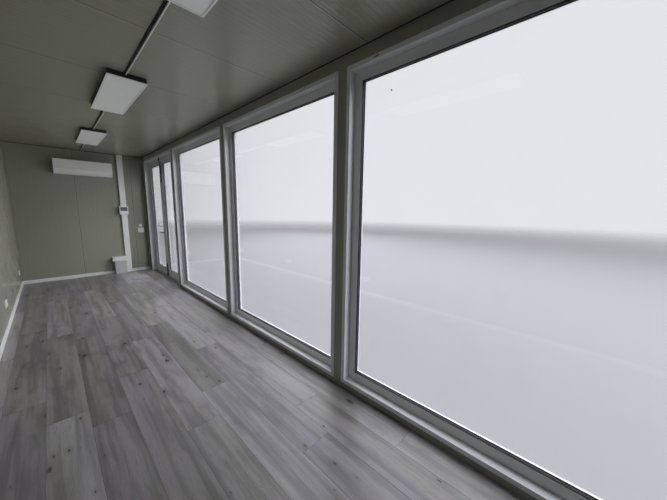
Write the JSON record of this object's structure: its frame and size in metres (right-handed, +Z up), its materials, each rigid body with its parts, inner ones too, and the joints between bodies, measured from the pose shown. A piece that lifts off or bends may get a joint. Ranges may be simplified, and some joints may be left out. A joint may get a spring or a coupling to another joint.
{
  "type": "portable site cabin",
  "caption": "Portable one-room site cabin: steel frame, sandwich panel walls and roof, glazed front with an outward-opening double glass door, lights and air conditioner.",
  "frame": {"origin": "on the ground, under the middle of the cabin", "axes": "+X along the cabin towards the door end, the glazed front faces -Y, +Z up"},
  "size_m": [8.978, 2.45, 3.128],
  "materials": {
    "painted_steel": "satin paint",
    "galvanised": "galvanised",
    "panel_sheet": "satin coil coating",
    "deck_board": "matt",
    "laminate": "satin",
    "white_frame": "satin paint",
    "clear_glass": "clear",
    "anodised": "anodised",
    "black_metal": "satin black",
    "white_plastic": "satin",
    "light_housing": "satin",
    "diffuser": "opal",
    "grey_plastic": "matt",
    "smoked_window": "gloss"
  },
  "bodies": {
    "cabin": {"air_conditioner": "white_plastic", "air_conditioner_vane": "white_plastic", "back_columns": "painted_steel", "back_skirting": "white_plastic", "back_wall": "panel_sheet", "base_corner_blocks": "painted_steel", "base_end_beams": "painted_steel", "base_side_beams": "painted_steel", "ceiling_lights": "light_housing", "ceiling_trunking": "white_plastic", "control_box": "white_plastic", "control_box_window": "smoked_window", "corner_trims": "panel_sheet", "door_end_wall": "panel_sheet", "door_head": "white_frame", "door_hinges_frame": "white_frame", "door_jambs": "white_frame", "door_threshold": "anodised", "end_skirting": "white_plastic", "floor_box": "grey_plastic", "floor_box_lid": "white_plastic", "floor_deck": "deck_board", "floor_joists": "galvanised", "floor_planks": "laminate", "front_columns": "painted_steel", "front_end_panels": "panel_sheet", "front_header": "painted_steel", "front_posts": "painted_steel", "front_sill": "painted_steel", "lifting_eyes": "painted_steel", "light_diffusers": "diffuser", "light_switch": "white_plastic", "opening_trims": "white_frame", "plain_end_wall": "panel_sheet", "roof_end_beams": "painted_steel", "roof_panels": "panel_sheet", "roof_side_beams": "painted_steel", "wall_sockets": "white_plastic", "wall_trunking": "white_plastic", "window_frame_1": "white_frame", "window_frame_2": "white_frame", "window_frame_3": "white_frame", "window_glass": "clear_glass"},
    "door_leaf_left_body": {"door_leaf_left": "white_frame", "door_glass_left": "clear_glass", "door_hinges_left": "white_frame", "bolt_guides": "black_metal"},
    "door_leaf_right_body": {"door_leaf_right": "white_frame", "door_glass_right": "clear_glass", "door_hinges_right": "white_frame", "door_lock_plates": "black_metal"},
    "door_lever_body": {"door_lever": "black_metal"},
    "top_bolt_body": {"top_bolt_rod": "black_metal"},
    "bottom_bolt_body": {"bottom_bolt_rod": "black_metal"}
  },
  "joints": [
    {"name": "door_left_hinge", "type": "hinge", "parent": "cabin", "child": "door_leaf_left_body", "pos_m": [2.255, -1.184, 0.168], "axis": [0, 0, -1], "range_deg": [0, 100]},
    {"name": "door_right_hinge", "type": "hinge", "parent": "cabin", "child": "door_leaf_right_body", "pos_m": [4.09, -1.184, 0.168], "axis": [0, 0, 1], "range_deg": [0, 100]},
    {"name": "door_lever_turn", "type": "hinge", "parent": "door_leaf_right_body", "child": "door_lever_body", "pos_m": [3.2405, -1.142, 1.158], "axis": [0, 1, 0], "range_deg": [0, 40], "stiffness_Nm_per_rad": 2, "springref_deg": -17.19},
    {"name": "top_bolt_slide", "type": "slide", "parent": "door_leaf_left_body", "child": "top_bolt_body", "axis": [0, 0, 1], "range_m": [0, 0.03]},
    {"name": "bottom_bolt_slide", "type": "slide", "parent": "door_leaf_left_body", "child": "bottom_bolt_body", "axis": [0, 0, -1], "range_m": [0, 0.03]}
  ]
}
